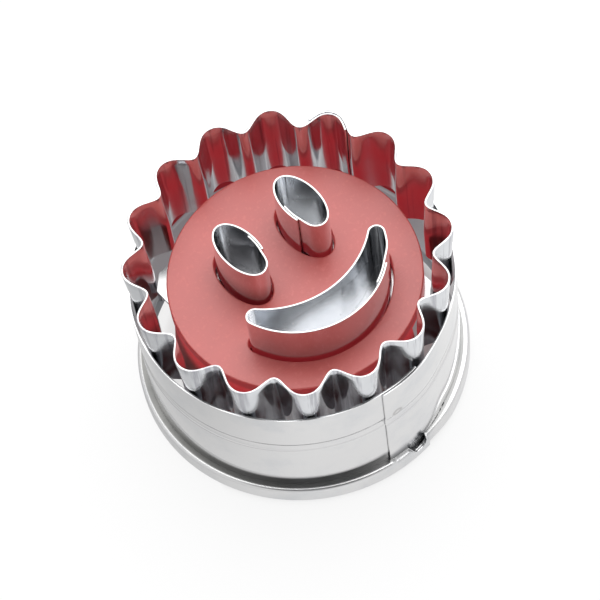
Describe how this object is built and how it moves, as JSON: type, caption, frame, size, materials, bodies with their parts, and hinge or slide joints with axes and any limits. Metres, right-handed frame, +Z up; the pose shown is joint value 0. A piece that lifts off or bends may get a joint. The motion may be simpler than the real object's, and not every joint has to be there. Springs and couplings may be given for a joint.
{
  "type": "linzer cookie cutter",
  "caption": "Round fluted tin cookie cutter in a grip ring with a rolled rim, inner cutters for a smiling face and a sprung red ejector plate.",
  "frame": {"origin": "middle of the grip rim's underside, on the surface the cutter stands on", "axes": "+Z up toward the cutting edges, along the ejector's travel; +Y toward the top of the face, +X toward its right eye as seen from above"},
  "size_m": [0.0514, 0.0514, 0.0316],
  "materials": {
    "tinplate": "bright tinned sheet, lightly scuffed",
    "red_plastic": "moulded, soft gloss",
    "spring_steel": "drawn wire"
  },
  "bodies": {
    "cutter": {"holder_ring": "tinplate", "fluted_cutter": "tinplate", "left_eye_cutter": "tinplate", "right_eye_cutter": "tinplate", "mouth_cutter": "tinplate", "carrier_plate": "tinplate", "return_spring": "spring_steel"},
    "ejector": {"ejector_plate": "red_plastic", "push_button": "red_plastic"}
  },
  "joints": [
    {"name": "ejector_slide", "type": "slide", "parent": "cutter", "child": "ejector", "axis": [0, 0, 1], "range_m": [0, 0.0078], "stiffness_N_per_m": 480, "springref_m": -0.003, "deforming": ["return_spring"]}
  ]
}
